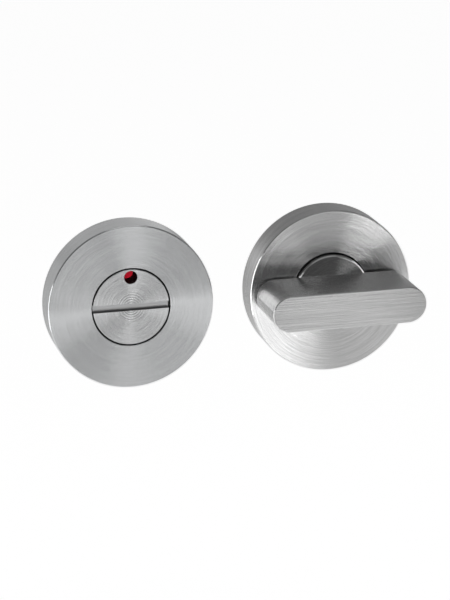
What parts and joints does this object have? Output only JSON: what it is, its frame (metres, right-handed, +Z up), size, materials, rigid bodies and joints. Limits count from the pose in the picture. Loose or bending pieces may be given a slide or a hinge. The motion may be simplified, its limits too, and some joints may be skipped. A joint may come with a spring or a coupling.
{
  "type": "bathroom thumb turn lock",
  "caption": "Bathroom turn set on round brushed steel roses: an inside thumb turn with a long round-ended bar and an outside coin-slot release with a red and green indicator window.",
  "frame": {"origin": "on the door plane, where the axis of the thumb turn meets it, at the centre of that half's two bolt holes", "axes": "+Z up, +Y into the door along the spindle, -Y towards the user, and +X to the right as seen from the front; the coin release is to the left of the thumb turn on the same plane"},
  "size_m": [0.116, 0.0795, 0.052],
  "materials": {
    "rose_steel": "circular satin brush",
    "turned_steel": "fine turned rings",
    "bar_steel": "satin brushed along its length",
    "plated_steel": "zinc plated",
    "spring_steel": "dark phosphated",
    "moulded_nylon": "glass-filled moulded black",
    "bush_acetal": "natural moulded",
    "indicator_enamel": "red field at top and bottom, green field at each side"
  },
  "bodies": {
    "roses": {"turn_rose_cover": "rose_steel", "turn_mounting_plate": "moulded_nylon", "turn_bush": "bush_acetal", "turn_stop_pin": "plated_steel", "turn_spring_washer": "spring_steel", "release_rose_cover": "rose_steel", "release_mounting_plate": "moulded_nylon", "threaded_sleeves": "plated_steel", "release_bush": "bush_acetal", "release_stop_pin": "plated_steel", "indicator_ring": "indicator_enamel", "release_spring_washer": "spring_steel"},
    "thumb_turn": {"turn_collar": "turned_steel", "thumb_bar": "bar_steel", "bar_screw": "plated_steel", "bar_dowels": "plated_steel", "spindle": "plated_steel", "spindle_grub_screw": "spring_steel", "turn_circlip": "spring_steel"},
    "coin_release": {"release_disc": "turned_steel", "release_circlip": "spring_steel"}
  },
  "joints": [
    {"name": "thumb_turn_spin", "type": "hinge", "parent": "roses", "child": "thumb_turn", "pos_m": [0, 0, 0], "axis": [0, -1, 0], "range_deg": [-90, 90]},
    {"name": "coin_release_spin", "type": "hinge", "parent": "roses", "child": "coin_release", "pos_m": [-0.064, 0, 0], "axis": [0, -1, 0], "range_deg": [-90, 90]}
  ]
}
